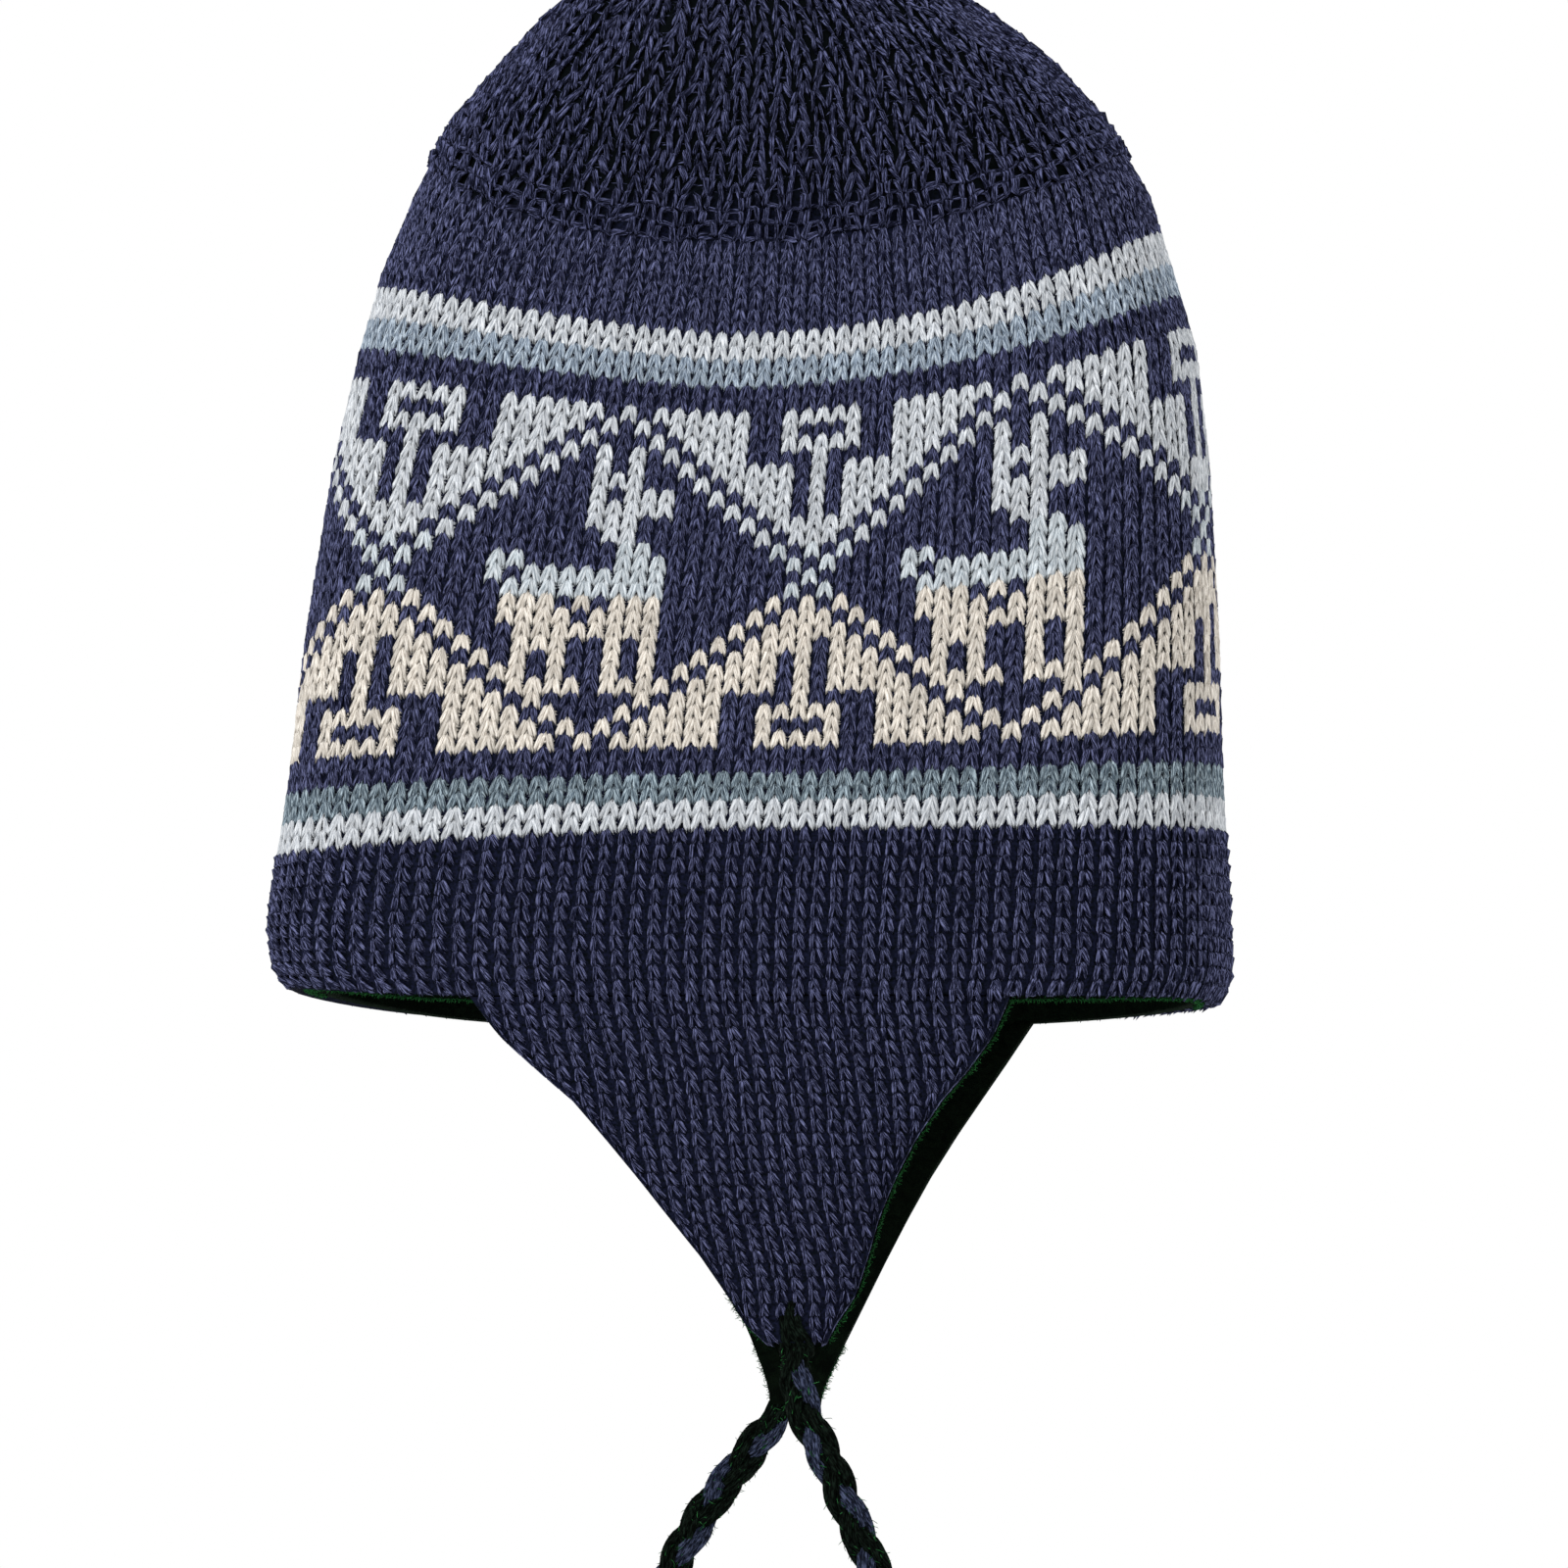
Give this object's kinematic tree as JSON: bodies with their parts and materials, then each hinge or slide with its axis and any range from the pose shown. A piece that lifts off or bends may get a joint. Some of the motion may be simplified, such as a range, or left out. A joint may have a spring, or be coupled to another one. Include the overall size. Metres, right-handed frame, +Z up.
{
  "type": "chullo hat",
  "caption": "Knitted chullo hat with a patterned band, gathered top, dark fleece lining, two ear flaps and a braided tie with a knotted tuft on each flap, in the form it has when worn.",
  "frame": {"origin": "centre of the head opening, in the plane of the rim, where the head comes in and the hat sits round it", "axes": "+Z up through the gathered top, +X to the brow, the ear flaps on the +Y and -Y sides"},
  "size_m": [0.224, 0.144, 0.4408],
  "materials": {
    "navy_knit": "knitted wool yarn, matt",
    "dark_fleece": "brushed fleece, matt",
    "braided_yarn": "braided wool yarn, matt"
  },
  "bodies": {
    "root": {"knitted_crown": "navy_knit", "crown_lining": "dark_fleece", "ear_flap_right": "navy_knit", "ear_flap_left": "navy_knit", "flap_lining_right": "dark_fleece", "flap_lining_left": "dark_fleece", "tie_right": "braided_yarn", "tie_left": "braided_yarn", "tie_tuft_right": "braided_yarn", "tie_tuft_left": "braided_yarn"}
  },
  "joints": []
}
